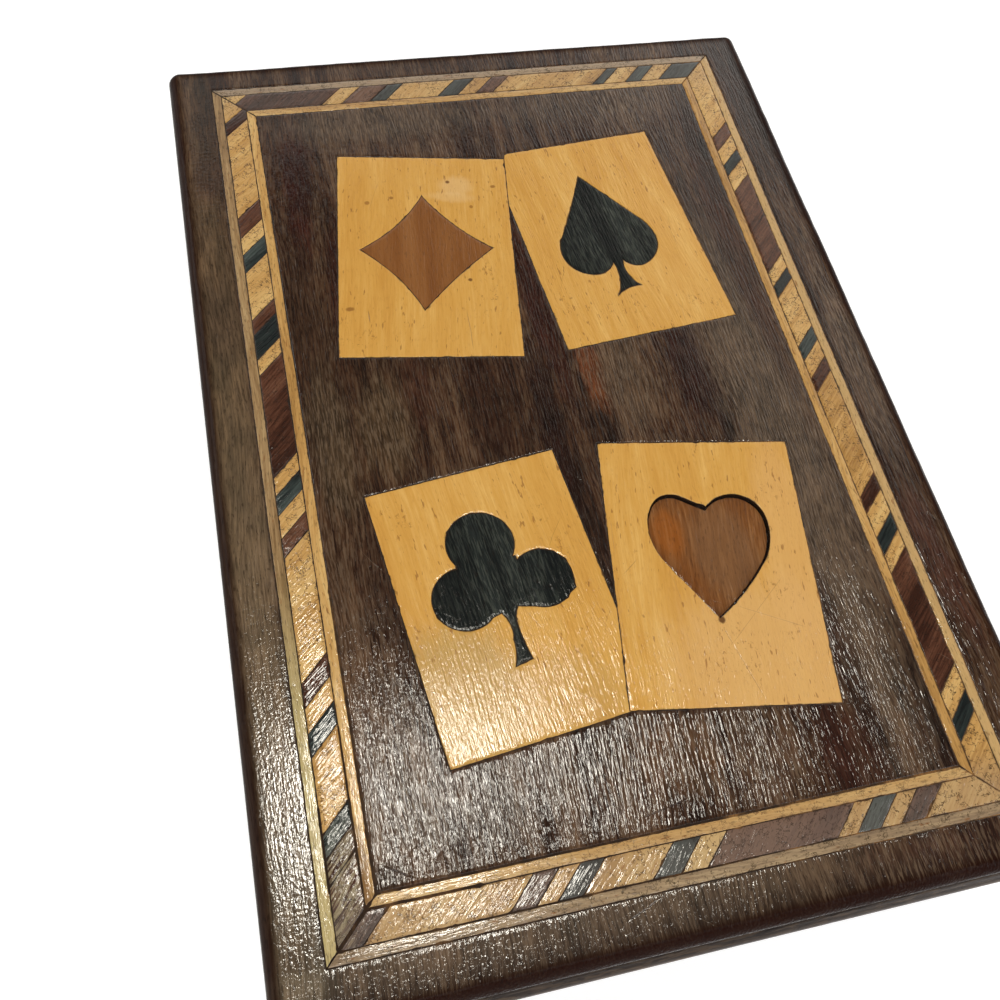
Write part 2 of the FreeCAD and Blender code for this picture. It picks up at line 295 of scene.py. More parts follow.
def timber(name, tones, turn=0.0, grain=(0.2, 0.014), fibre=0.3, pores=0.4,
           pore_tone=(30, 20, 15), hairs=0.0, hair_tone=(150, 135, 115), flecks=0.0,
           fleck_tone=(130, 80, 40), gloss=(0.09, 0.15), relief=0.075, grit=0.014,
           dirt_and_shade=(38, 28, 20), dirty=0.8, islands=0.0, shine=0.5, streaky=1.0, cracks=0.0,
           details=None, ridges=None):
    """Adds a varnished wood whose fibres run along Y, or along Y turned by an angle.

    The tones are colours by the value of a slow noise; the grain is how many of its waves
    go into a millimetre across and along the fibres; relief and grit are in millimetres.
    """
    s = Shader(name)
    fibres = s.turned(s.place, turn)
    drift = s.noise(fibres, (0.05, 0.018, 0.05))
    fibres = s.vector("ADD", fibres, s.along_x(s.times(drift, 7.0)))
    slow = s.noise(fibres, (grain[0], grain[1], grain[0]), detail=3.0, rough=0.6)
    slow = s.sway(slow, streaky, 0.5)
    thin = s.noise(fibres, (3.2, 0.2, 3.2), detail=3.0, rough=0.6)
    short = s.noise(fibres, (4.6, 0.9, 4.6), detail=1.5)
    value = s.sway(thin, fibre, slow)
    if islands:
        island = s.node("ShaderNodeNewGeometry").outputs["Random Per Island"]
        value = s.sway(island, islands, value)
    colour = s.ramp(value, tones)
    if hairs:
        hairs = s.remap(slow, 0.40, 0.60, hairs * 0.15, hairs)
    if details:
        colour, hairs = details(s, colour, thin, hairs)
    pore = s.remap(short, 0.57, 0.68)
    colour = s.tint(s.times(pore, pores), colour, pore_tone)
    if hairs:
        hair = s.remap(s.noise(fibres, (4.0, 0.4, 4.0), detail=3.0, rough=0.6), 0.47, 0.60)
        colour = s.tint(s.times(hair, hairs), colour, hair_tone)
    if flecks:
        fleck = s.remap(s.noise(fibres, (2.3, 0.5, 2.3), detail=2.0), 0.66, 0.72)
        colour = s.tint(s.times(fleck, flecks), colour, fleck_tone)
    cloud = s.noise(s.place, (0.55, 0.55, 0.55), detail=4.0, rough=0.65)
    grime = s.sway(cloud, 1.3, s.attribute("edge"))
    grime = s.times(s.remap(grime, 0.7, 1.15), dirty)
    colour = s.tint(grime, colour, dirt_and_shade)
    if cracks:
        vein = s.noise(s.place, (0.9, 0.9, 0.9), detail=4.0, rough=0.6)
        vein = s.remap(s.math("ABSOLUTE", s.math("SUBTRACT", vein, 0.5)), 0.005, 0.022, 1.0, 0.0)
        vein = s.times(vein, s.remap(cloud, 0.40, 0.52, 0.0, cracks))
        colour = s.tint(vein, colour, dirt_and_shade)
    # A mark above 0 darkens a scratch with dirt and paints shade on the wall of the heart's hole;
    # one below 0 pales a scratch.
    mark = s.attribute("mark")
    colour = s.tint(s.times(mark, 0.85, clamp=True), colour, dirt_and_shade)
    colour = s.tint(s.times(mark, -0.8, clamp=True), colour, hair_tone)
    rough = s.remap(thin, 0.35, 0.65, gloss[0], gloss[1])
    dashes = s.noise(fibres, (3.0, 0.3, 3.0), detail=2.0)
    gritty = s.noise(s.place, (2.2, 1.8, 2.2), detail=2.0)
    if ridges:
        relief, grit, shine = ridges(s, relief, grit, shine)
    height = s.times(dashes, relief)
    height = s.math("MULTIPLY_ADD", gritty, grit, height)
    height = s.math("MULTIPLY_ADD", pore, -0.006, height)
    woods[name] = s.finish(colour, rough, height, shine)


palest_bare_streak = 130
pitted_grit = 0.037
# The streaks of the dark top: middle and reach in millimetres, turn, colour and strength.
top_streaks = (
    ((18.5, 30), (2.2, 16), -3, (44, 16, 9), 0.9),
    ((22.5, 47), (1.4, 12), -6, (42, 17, 10), 0.8),
    ((31, 70), (2, 8), 0, (50, 24, 14), 0.7),
    ((17, 58), (2.4, 14), 0, (52, 34, 22), 0.6),
    ((17.5, 78), (3, 11), 2, (66, 52, 36), 0.75),
    ((25.5, 76), (3.6, 8), -2, (72, 56, 38), 0.7),
    ((41, 74), (3, 11), 3, (38, 20, 12), 0.8),
    ((34, 16), (16, 4), 0, (72, 60, 48), 0.6),
    ((72, 15), (18, 5), 0, (70, 58, 48), 0.5),
    ((49.4, 80), (1.7, 17), 2, (30, 12, 7), 0.9),
    ((52.6, 58.9), (2, 18), 4, (44, 16, 9), 0.9),
    ((58.1, 71.4), (1.6, 7), 3, (98, 52, 24), 0.8),
    ((63.5, 74), (3.6, 8), 2, (84, 64, 46), 0.7),
    ((73.6, 72.5), (3, 11), 3, (38, 15, 9), 0.95),
    ((84.1, 90.9), (6.5, 46), 2, (86, 72, 58), 0.6),
    ((88, 50), (2, 26), 2, (50, 26, 16), 0.7),
    ((80.5, 118), (2, 14), 3, (48, 28, 20), 0.6),
    ((55, 131), (5, 5), 0, (96, 66, 42), 0.55),
    ((77.1, 134.5), (3.6, 6), 2, (56, 28, 20), 0.75),
    ((66, 134.5), (4.6, 5), 0, (70, 50, 38), 0.6),
    ((31, 129), (9, 6), 0, (60, 40, 26), 0.5),
    ((4, 70), (3, 48), 0, (92, 72, 50), 0.6),
    ((101, 76), (2.5, 16), 0, (82, 66, 54), 0.6),
    ((100.5, 113), (2.2, 15), 4, (62, 34, 26), 0.7),
    ((86, 149), (14, 3), 0, (64, 40, 30), 0.6),
    ((4.7, 24.9), (2.2, 5), 0, (56, 34, 26), 0.7),
    ((4.1, 53.9), (2.6, 8), 0, (54, 38, 28), 0.65),
    ((13.3, 134.6), (1.1, 4.2), 0, (50, 34, 24), 0.85),
    ((14.8, 137.6), (2.8, 1.6), 0, (44, 30, 20), 0.85),
)


def top_details(s, colour, thin, hairs):
    """The top's streaks and clouds, painted sheen on two margins, painted shade on its rim and
    near edge, and its hairs at each place.
    """
    shade = s.remap(thin, 0.3, 0.7, 0.6, 1.4)
    for middle, reach, degrees, tone, strength in top_streaks:
        mask = s.times(s.blot(middle, reach, degrees, 0.45, 0.9), strength)
        colour = s.tint(mask, colour, tone, shade)
        hairy = 0.65 if sum(tone) > palest_bare_streak else 0.08
        hairs = s.math("MULTIPLY_ADD", s.math("SUBTRACT", hairy, hairs), mask, hairs)
    across, along, _ = s.split(s.place)
    cloud = s.remap(s.noise(s.place, (0.2, 0.11, 0.2), detail=4.0, rough=0.6),
                    0.36, 0.64, 0.74, 1.24)
    colour = s.vector("MULTIPLY", cloud, colour)
    smooth = s.times(s.remap(along, -30.0, -10.0),
                     s.remap(across, 7.0 - half_width, 8.5 - half_width, 0.5, 0.0))
    # The rim mask: painted shade on the top's round edge, which also loses its hairs.
    rim = rim_of_top(s, 2.4, 1.1)
    hairs = s.math("MULTIPLY_ADD", s.times(s.math("MAXIMUM", rim, smooth), hairs), -0.9, hairs)
    # Painted sheen of the glare: the near and left margins are paled.
    painted_margin_sheen = s.times(s.remap(along, 6.4 - half_length, 7.4 - half_length, 0.34, 0.0),
                    s.remap(across, 5.0, 35.0, 1.0, 0.0))
    colour = s.tint(painted_margin_sheen, colour, (112, 98, 80), shade)
    painted_margin_sheen = s.times(s.remap(along, -60.0, 50.0, 0.24, 0.05),
                    s.remap(across, 6.4 - half_width, 7.4 - half_width, 1.0, 0.0))
    colour = s.tint(painted_margin_sheen, colour, (150, 134, 106), shade)
    # Painted shade along the near edge, darker towards it.
    near = s.remap(along, 1.8 - half_length, 5.4 - half_length, 0.75, 0.0)
    colour = s.tint(near, colour, (34, 20, 14))
    return s.tint(s.times(rim, 0.85), colour, (32, 12, 8)), hairs


# The marks of the cards and pips, in the same way.
card_blots = {
    "diamond_card": (
        ((44.6, 32), (2.6, 2.2), 0, (220, 180, 122), 0.6),
        ((43.4, 34.2), (3.6, 1.1), -12, (220, 180, 122), 0.5),
        ((43.4, 30.9), (0.35, 0.35), 0, (110, 70, 36), 0.9),
        ((29.4, 33.8), (0.4, 0.4), 0, (150, 100, 44), 0.8),
        ((33.5, 33.2), (0.35, 0.3), 0, (140, 92, 40), 0.8),
        ((50.8, 32.8), (0.4, 0.3), 0, (140, 92, 40), 0.8),
        ((46.3, 36.7), (0.3, 0.3), 0, (150, 100, 44), 0.8),
        ((43.1, 51.6), (0.35, 0.3), 0, (110, 70, 32), 0.9),
        ((23.5, 54.7), (0.6, 0.4), 0, (140, 92, 40), 0.8),
        ((35.3, 55.7), (0.6, 0.5), 0, (64, 40, 24), 0.8),
    ),
    "club_card": (
        ((29.5, 118), (8, 10), 6.6, (180, 146, 84), 0.7),
        ((42, 121.5), (8, 7), 6.6, (194, 152, 84), 0.6),
    ),
    "heart_card": (
        ((72, 121), (16, 12), 0, (216, 170, 108), 0.7),
        ((79, 104), (4, 16), -8.5, (216, 168, 104), 0.6),
        ((65.7, 113.8), (0.5, 0.5), 0, (84, 50, 26), 0.9),
    ),
    "heart_pip": (
        ((62.2, 99.6), (2.2, 3.6), 0, (150, 84, 28), 0.6),
        ((61.6, 107), (3, 6), 30, (116, 66, 26), 0.5),
        ((69.5, 103.5), (4.6, 7), 0, (124, 90, 60), 0.55),
    ),
}
# Stains that are broken up into specks: middle, reach and turn.
card_specks = {
    "diamond_card": (
        ((46, 53.5), (1.6, 6), -7.8), ((24.5, 60.5), (3.5, 1.6), -7.8),
        ((31.2, 58), (0.5, 1.6), -7.8), ((49, 31.5), (1.4, 2), 0),
    ),
    "spade_card": (
        ((80, 61), (2.6, 3), 0), ((57.5, 59), (1.8, 3.4), 5.3), ((66, 60.5), (5, 1.6), 5.3),
        ((78.4, 36), (1.2, 1.4), 0),
    ),
    "club_card": (
        ((45, 98), (2, 7), 6.6), ((24, 92), (2.4, 3), 6.6),
    ),
    "heart_card": (
        ((65.8, 114.6), (1.6, 1.2), 0), ((67, 118), (2.6, 5), 10), ((75, 111.4), (3, 1.6), -30),
        ((64, 120), (3.4, 2.6), 0), ((54.6, 103.5), (2.6, 1), 30), ((78, 96), (2.4, 2), 0),
        ((76, 117.3), (2.2, 1.2), 0),
    ),
}


def blots_of(name):
    """The details of one card or pip."""
    def add_blots(s, colour, thin, hairs):
        for middle, reach, degrees, tone, strength in card_blots.get(name, ()):
            mask = s.blot(middle, reach, degrees)
            colour = s.tint(s.times(mask, strength), colour, tone)
        if name in card_specks:
            speck = s.remap(s.noise(s.place, (1.7, 1.1, 1.7), detail=4.0, rough=0.7), 0.57, 0.66)
            for middle, reach, degrees in card_specks[name]:
                mask = s.times(s.blot(middle, reach, degrees), speck)
                colour = s.tint(s.times(mask, 0.6), colour, (138, 92, 44))
        return colour, hairs
    return add_blots


def painted_end_sheen(s, colour, thin, hairs):
    """A grey painted sheen along the near side, and a little along the far side."""
    along = s.split(s.place)[1]
    near = s.remap(along, 16.0 - half_length, 10.0 - half_length, 0.0, 0.30)
    far = s.remap(along, half_length - 16.0, half_length - 10.0, 0.0, 0.16)
    return s.tint(s.math("MAXIMUM", near, far), colour, (134, 128, 120)), hairs


def paler_far(s, colour, thin, hairs):
    """The painted sheen of the ends, and an outer string that is paler on the far side."""
    colour, hairs = painted_end_sheen(s, colour, thin, hairs)
    far = s.remap(s.split(s.place)[1], half_length - 12.0, half_length - 8.0, 0.0, 0.4)
    return s.tint(far, colour, (180, 162, 140)), hairs


def soiled_end(s, colour, thin, hairs):
    """The left inner string is soiled at its near end."""
    soiled = s.times(s.blot((11.4, 137.0), (2.2, 7.0)), 0.75)
    return s.tint(soiled, colour, (106, 76, 52)), hairs


def painted_glint_corner(tone, strength):
    """The painted sheen of the ends, and pale streaks painted as glints in the slanted pieces by
    the near left corner.
    """
    def add_painted_glints(s, colour, thin, hairs):
        colour, hairs = painted_end_sheen(s, colour, thin, hairs)
        # Pale streaks painted as glints of the glare, in a patch by the near left corner.
        corner = s.times(s.blot((8.6, 136.0), (3.4, 8.0)), strength)
        streaks = s.times(s.remap(thin, 0.42, 0.56), corner)
        return s.tint(streaks, colour, tone), hairs
    return add_painted_glints


def painted_reflection_top(s, colour, thin, hairs):
    """The top edge of the drawer front is painted dark grey: a painted reflection."""
    share = s.remap(s.split(s.place)[2], front_height - 0.9, front_height - 0.2, 0.0, 0.8)
    return s.tint(share, colour, (44, 39, 36)), hairs


def paler_right(s, colour, thin, hairs):
    """The outer string is less grimy on the right, and greenish at the near left corner."""
    across, along, _ = s.split(s.place)
    share = s.remap(across, -20.0, 30.0, 0.0, 0.65)
    colour = s.tint(share, colour, (204, 166, 108))
    corner = s.times(s.remap(across, -20.0, 0.0, 0.7, 0.0), s.remap(along, -45.0, -15.0, 1.0, 0.0))
    return s.tint(corner, colour, (200, 182, 126)), hairs


def glue_details(s, colour, thin, hairs):
    """The joints are dark on the left and near, and mostly clean on the right."""
    clean = s.noise(s.place, (0.25, 0.25, 0.25), detail=2.0)
    clean = s.math("MULTIPLY_ADD", s.split(s.place)[0], 0.006, clean)
    return s.tint(s.remap(clean, 0.5, 0.75, 0.0, 0.85), colour, (150, 106, 60)), hairs


def rim_of_top(s, start, end):
    """A mask that rises from 0 to 1 between two distances from the top's outline."""
    across, along, _ = s.split(s.place)
    sides = s.remap(s.math("ABSOLUTE", across), half_width - start, half_width - end)
    ends = s.remap(s.math("ABSOLUTE", along), half_length - start, half_length - end)
    return s.math("MAXIMUM", sides, ends)


def top_ridges(s, relief, grit, shine):
    """The top's varnish: pitted on two margins, thick in places, worn off the arrises."""
    across, along, _ = s.split(s.place)
    left = s.remap(across, 6.0 - half_width, 9.0 - half_width, 1.0, 0.0)
    near = s.remap(along, 6.0 - half_length, 9.0 - half_length, 1.0, 0.0)
    relief = s.math("MULTIPLY_ADD", left, -0.7 * relief, relief)
    pits = s.math("MAXIMUM", left, s.times(near, 0.9))
    thick = s.math("MAXIMUM", s.times(left, s.remap(along, -50.0, -25.0, 1.0, 0.0)),
                   s.times(near, s.remap(across, -20.0, 20.0, 0.7, 0.0)))
    shine = s.math("MULTIPLY_ADD", thick, 0.9 * shine, shine)
    worn = s.times(rim_of_top(s, 3.0, 1.5), 0.95)
    shine = s.times(s.math("SUBTRACT", 1.0, worn), shine)
    return relief, s.math("MULTIPLY_ADD", pits, pitted_grit - grit, grit), shine


# Colours by the value of a wood's slow noise.
rosewood_tones = ((0.28, (22, 11, 7)), (0.42, (40, 22, 13)), (0.50, (54, 33, 20)),
                  (0.58, (68, 46, 30)), (0.72, (92, 68, 48)))
maple_tones = ((0.30, (198, 144, 66)), (0.48, (208, 156, 76)), (0.58, (212, 162, 84)),
               (0.72, (222, 176, 100)))
string_tones = ((0.32, (160, 118, 64)), (0.48, (192, 148, 86)), (0.66, (210, 172, 110)))
outer_string_tones = ((0.32, (116, 88, 56)), (0.48, (150, 120, 82)), (0.66, (184, 154, 110)))
brown_tones = ((0.30, (52, 28, 18)), (0.48, (88, 54, 38)), (0.66, (108, 74, 54)))
black_tones = ((0.32, (22, 26, 26)), (0.5, (40, 46, 44)), (0.66, (64, 72, 68)))
card_turns = {"diamond": -7.8, "spade": 5.35, "club": 6.6, "heart": -8.5}
slant_turn = -45.0

dark_wood = dict(tones=rosewood_tones, grain=(0.2, 0.012), fibre=0.75, pores=0.5,
                 pore_tone=(22, 12, 8), hairs=0.42, hair_tone=(114, 94, 74))
side_wood = dark_wood | dict(hairs=0.3, gloss=(0.3, 0.42), relief=0.03, grit=0.006, shine=0.25)
inner_string_wood = dict(tones=string_tones, fibre=0.5, flecks=0.6)
outer_string_wood = dict(tones=outer_string_tones, fibre=0.6, flecks=0.6, dirt_and_shade=(66, 52, 34))


def make_woods():
    """Every wood, by the name of its material."""
    timber("rosewood_top", details=top_details, ridges=top_ridges, relief=0.105, grit=0.02,
           **dark_wood)
    timber("rosewood_along", **side_wood)
    timber("rosewood_across", turn=90.0, **side_wood)
    # The drawer front's top edge carries a painted reflection.
    timber("rosewood_front", turn=90.0, details=painted_reflection_top, **side_wood)
    timber("pale_backing", ((0.35, (96, 62, 40)), (0.6, (150, 108, 72))))
    timber("old_glue", ((0.4, (30, 18, 10)), (0.52, (58, 38, 22)), (0.62, (92, 64, 38))),
           fibre=0.0, gloss=(0.6, 0.8), shine=0.1, details=glue_details)
    timber("inner_string_along", dirt_and_shade=(74, 52, 34), details=soiled_end, **inner_string_wood)
    timber("inner_string_across", turn=90.0, dirt_and_shade=(84, 62, 44), cracks=0.7, details=painted_end_sheen,
           **inner_string_wood)
    timber("outer_string_along", details=paler_right, **outer_string_wood)
    timber("outer_string_across", turn=90.0, cracks=0.9, details=paler_far, **outer_string_wood)
    timber("band_pale", string_tones, slant_turn, fibre=0.45, pores=0.25,
           pore_tone=(120, 84, 46), flecks=0.5, islands=0.12, dirt_and_shade=(74, 54, 36), cracks=1.0,
           details=painted_end_sheen)
    # The slanted pieces by the near left corner carry pale streaks that are painted glints.
    timber("band_brown", brown_tones, slant_turn, fibre=0.6, islands=0.3, cracks=0.7,
           details=painted_glint_corner((150, 136, 106), 0.8))
    timber("band_black", black_tones, slant_turn, fibre=0.6, islands=0.2,
           details=painted_glint_corner((120, 122, 110), 0.5))
    timber("diamond_pip", ((0.3, (116, 70, 34)), (0.5, (128, 80, 40)), (0.7, (140, 92, 50))),
           card_turns["diamond"], pores=0.2)
    timber("heart_pip", ((0.3, (96, 56, 26)), (0.5, (122, 76, 38)), (0.7, (146, 100, 58))),
           card_turns["heart"], fibre=0.9, pores=0.25, streaky=0.6,
           details=blots_of("heart_pip"))
    for suit in ("spade", "club"):
        timber(suit + "_pip_black",
               ((0.35, (16, 19, 19)), (0.5, (24, 27, 26)), (0.66, (38, 42, 40))),
               card_turns[suit], hairs=0.4, hair_tone=(84, 88, 78), fibre=0.5, shine=0.2)
    for suit, turn in card_turns.items():
        timber(suit + "_card_maple", maple_tones, turn, fibre=0.5, pores=0.15,
               pore_tone=(160, 106, 48), flecks=0.6, grain=(0.3, 0.03), streaky=0.8,
               relief=0.05, details=blots_of(suit + "_card"))
    timber("drawer_along", ((0.35, (176, 138, 92)), (0.65, (206, 172, 124))))
    timber("drawer_across", ((0.35, (172, 134, 90)), (0.65, (204, 170, 122))), 90.0)


make_woods()


# ---------------------------------------------------------------- outlines

def face_loops(node, height):
    """The outlines, in mm, of a CAD node's level faces at a height.

    The material lies on the left of each outline, seen from above.
    """
    same_height = 0.02
    bm = bmesh.new()
    bm.from_mesh(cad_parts[node].data)
    bmesh.ops.remove_doubles(bm, verts=bm.verts, dist=weld_distance)
    level = [face for face in bm.faces if face.normal.z > 0.99
             and abs(face.calc_center_median().z / MM - height) < same_height]
    chosen = set(level)
    ahead = {}
    for face in level:
        for corner in face.loops:
            if not any(f in chosen and f is not face for f in corner.edge.link_faces):
                ahead[corner.vert] = corner.link_loop_next.vert
    loops = []
    while ahead:
        start, vert = ahead.popitem()
        loop = [start]
        while vert is not start:
            loop.append(vert)
            vert = ahead.pop(vert)
        loops.append(np.array([v.co[:2] for v in loop]) / MM)
    bm.free()
    return sorted(loops, key=lambda loop: tuple(loop.min(0)))


def resampled(loop, step=0.35, corner=32.0, straight=2.5):
    """A closed outline at small steps, with its corners kept and its curves rounded."""
    ahead = np.roll(loop, -1, 0) - loop
    lengths = np.hypot(*ahead.T)
    headings = np.degrees(np.arctan2(ahead[:, 1], ahead[:, 0]))
    turns = np.abs((headings - np.roll(headings, 1) + 180) % 360 - 180)
    long_side = lengths > straight
    breaks = (turns > corner) | long_side | np.roll(long_side, 1)
    count = len(loop)
    made = []
    for i in range(count):
        a, b = loop[i], loop[(i + 1) % count]
        before = 2 * a - b if breaks[i] else loop[i - 1]
        after = 2 * b - a if breaks[(i + 1) % count] else loop[(i + 2) % count]
        pieces = max(1, math.ceil(lengths[i] / step))
        for k in range(pieces):
            t = k / pieces
            made.append(0.5 * (2 * a + (b - before) * t
                               + (2 * before - 5 * a + 4 * b - after) * t * t
                               + (3 * a - before - 3 * b + after) * t ** 3))
    return np.array(made)


def waves(points, size, seed):
    """Smooth noise, about -1 to 1, at each of some points."""
    return np.array([noise.noise(Vector((x / size, y / size, seed))) for x, y in points])


def hand_cut(points):
    """Points moved as a fretsaw wanders; neighbours that share a cut move alike."""
    fade = np.clip((half_width - 2.5 - np.abs(points[:, 0])) / 2.0, 0, 1)
    moved = points.copy()
    for axis, seed in ((0, 3.1), (1, 8.7)):
        shift = 0.05 * waves(points, 7.0, seed) + 0.015 * waves(points, 1.3, seed + 20)
        moved[:, axis] += shift * fade
    return moved


def inset(loop, amount):
    """A closed outline moved towards its left by an amount, or by one for each point."""
    ahead = np.roll(loop, -1, 0) - loop
    ahead /= np.maximum(np.hypot(*ahead.T), 1e-9)[:, None]
    left = np.stack((-ahead[:, 1], ahead[:, 0]), 1)
    both = left + np.roll(left, 1, 0)
    square = np.maximum((both ** 2).sum(1), 0.5)
    return loop + both * (2 * amount / square)[:, None]


def is_inside(points, loops):
    """Whether each point lies inside the loops, counted even and odd."""
    order = np.argsort(points[:, 1], kind="stable")
    heights = points[order, 1]
    flags = np.zeros(len(points), bool)
    for loop in loops:
        for a, b in zip(loop, np.roll(loop, -1, 0)):
            first, last = np.searchsorted(heights, (min(a[1], b[1]), max(a[1], b[1])))
            if first < last:
                rows = order[first:last]
                cross = a[0] + (points[rows, 1] - a[1]) * (b[0] - a[0]) / (b[1] - a[1])
                flags[rows[points[rows, 0] < cross]] ^= True
    return flags


def net(loops, spacing):
    """The points of a loose hexagonal net that lie inside the loops."""
    row_share, looseness = 0.866, 0.12
    every = np.concatenate(loops)
    low, high = every.min(0), every.max(0)
    rows = np.arange(low[1], high[1], spacing * row_share)
    columns = np.arange(low[0], high[0], spacing)
    x, y = np.meshgrid(columns, rows)
    x[1::2] += spacing / 2
    points = np.stack((x.ravel(), y.ravel()), 1)
    dice = np.random.default_rng(5)
    points += dice.uniform(-looseness, looseness, points.shape) * spacing
    return points[is_inside(points, loops)]


def tree_of(points):
    """A search tree of points in the plane."""
    tree = kdtree.KDTree(len(points))
    for i, (x, y) in enumerate(points):
        tree.insert((x, y, 0), i)
    tree.balance()
    return tree


class Solid:
    """A closed mesh made of rings and caps, with how near a point is to an edge and marks."""

    def __init__(self):
        self.points = []
        self.faces = []
        self.edge = []
        self.mark = []

    def add(self, points, heights, edge=1.0, mark=0.0):
        """New points at their heights, or at one height; gives their numbers."""
        start = len(self.points)
        for i, (x, y) in enumerate(points):
            self.points.append((x, y, heights[i] if np.ndim(heights) else heights))
            self.edge.append(edge[i] if np.ndim(edge) else edge)
            self.mark.append(mark[i] if np.ndim(mark) else mark)
        return list(range(start, len(self.points)))

    def band(self, low, high):
        """Walls from a lower ring to the one above it."""
        for i in range(len(low)):
            j = (i + 1) % len(low)
            self.faces.append((low[i], low[j], high[j], high[i]))

    def cap(self, rings, inner=(), ties=(), up=True):
        """Fills what the rings bound, through inner points; ties are edges to keep."""
        ids = [i for ring in rings for i in ring]
        edges = []
        for ring in rings:
            edges += list(zip(ring, ring[1:] + ring[:1]))
        edges += list(ties)
        ids += list(inner)
        where = {i: k for k, i in enumerate(ids)}
        flat = [Vector(self.points[i][:2]) for i in ids]
        ends = [(where[a], where[b]) for a, b in edges]
        verts, _, triangles, origins, _, _ = geometry.delaunay_2d_cdt(flat, ends, [], 0, 1e-6)
        made = []
        for vert, origin in zip(verts, origins):
            if origin:
                made.append(ids[origin[0]])
            else:
                near = min(ids, key=lambda i: (self.points[i][0] - vert.x) ** 2
                           + (self.points[i][1] - vert.y) ** 2)
                made += self.add([vert], self.points[near][2], 0.0, self.mark[near])
        loops = [np.array([self.points[i][:2] for i in ring]) for ring in rings]
        middles = np.array([(verts[a] + verts[b] + verts[c]) / 3 for a, b, c in triangles])
        for (a, b, c), keep in zip(triangles, is_inside(middles, loops)):
            if keep:
                face = (made[a], made[b], made[c])
                self.faces.append(face if up else face[::-1])

    def make(self, name, wood, body, nodes):
        """The object, on its body, in place of its CAD nodes."""
        mesh = bpy.data.meshes.new(name)
        mesh.from_pydata((np.array(self.points) * MM).tolist(), [], self.faces)
        for key, values in (("edge", self.edge), ("mark", self.mark)):
            layer = mesh.attributes.new(key, "FLOAT", "POINT")
            layer.data.foreach_set("value", np.array(values, np.float32))
        bm = bmesh.new()
        bm.from_mesh(mesh)
        for face in bm.faces:
            face.smooth = True
        for edge in bm.edges:
            edge.smooth = len(edge.link_faces) == 2 and edge.calc_face_angle(0) < 0.7
        bm.to_mesh(mesh)
        bm.free()
        mesh.materials.append(woods[wood])
        piece = bpy.data.objects.new(name, mesh)
        bpy.context.scene.collection.objects.link(piece)
        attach(piece, body)
        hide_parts(*nodes)


# ---------------------------------------------------------------- scratches and dents

# Scratches on the top: the points they run through, half width, depth and tone, where a
# tone of 1 is dark with dirt and -1 is pale.
top_marks = [
    (((26.2, 55.3), (26.1, 57.8)), 0.10, 0.05, 0.9),
    (((41.3, 57.8), (41.2, 61.4), (40.9, 64.6)), 0.06, 0.03, 0.7),
    (((42.3, 148.2), (45.1, 147.3), (48.6, 145.7)), 0.09, 0.04, 0.9),
    (((47.1, 137.1), (54.1, 135.9)), 0.07, 0.03, 0.8),
    (((15.1, 136.1), (18.6, 138.3)), 0.10, 0.05, 0.9),
    (((54.1, 104.8), (56.4, 103.1)), 0.06, 0.03, 0.7),
    (((65.6, 114.9), (68.1, 125.4)), 0.05, 0.03, 0.6),
    (((65.1, 110.4), (77.1, 116.9)), 0.05, 0.02, 0.45),
    (((66.1, 117.4), (76.1, 109.4)), 0.05, 0.02, 0.45),
]


def hairlines(count, seed):
    """Fine scratches from years of use, mostly along the box, some across it."""
    dice = random.Random(seed)
    made = []
    for _ in range(count):
        x = dice.uniform(3, 2 * half_width - 3)
        y = dice.uniform(4, 2 * half_length - 4)
        length = dice.uniform(1.5, 9)
        heading = dice.gauss(90, 35)
        bend = dice.uniform(-0.4, 0.4)
        dx = length * math.cos(math.radians(heading))
        dy = length * math.sin(math.radians(heading))
        middle = (x + dx / 2 - dy * bend * 0.2, y + dy / 2 + dx * bend * 0.2)
        tone = dice.choice((0.35, 0.5, -0.35, -0.5))
        made.append((((x, y), middle, (x + dx, y + dy)), 0.045, 0.012, tone))
    return made


def cut_marks(solid, marks, loops, tree, height):
    """Grooves for the marks that cross the loops: their new points and kept edges."""
    step, clear_of_edges = 0.6, 0.15
    low, high = np.concatenate(loops).min(0), np.concatenate(loops).max(0)
    new, ties = [], []
    for path, half, depth, tone in marks:
        path = np.array([on_top(*point) for point in path])
        steps = np.hypot(*(path[1:] - path[:-1]).T)
        line = []
        for a, b, length in zip(path, path[1:], steps):
            count = max(1, math.ceil(length / step))
            line += [a + (b - a) * k / count for k in range(count)]
        line = np.array(line + [path[-1]])
        if (line.max(0) < low).any() or (line.min(0) > high).any():
            continue
        good = is_inside(line, loops)
        good &= np.array([tree.find((x, y, 0))[2] > 2 * half + clear_of_edges
                          for x, y in line])
        run = []
        for point, keep in zip([*line, None], [*good, False]):
            if keep:
                run.append(point)
                continue
            if len(run) > 2:
                run_points = np.array(run)
                way = np.gradient(run_points, axis=0)
                way /= np.hypot(*way.T)[:, None]
                side = np.stack((-way[:, 1], way[:, 0]), 1) * half
                fade = np.minimum(1, np.minimum(np.arange(len(run)),
                                                np.arange(len(run))[::-1]) / 2 + 0.25)
                for shift in (-2, -1, 0, 1, 2):
                    deep = max(0, 1 - abs(shift)) * fade
                    ids = solid.add(run_points + side * shift, height - depth * deep, 0.0,
                                    tone * deep)
                    new += ids
                    ties += list(zip(ids, ids[1:]))
            run = []
    return new, ties


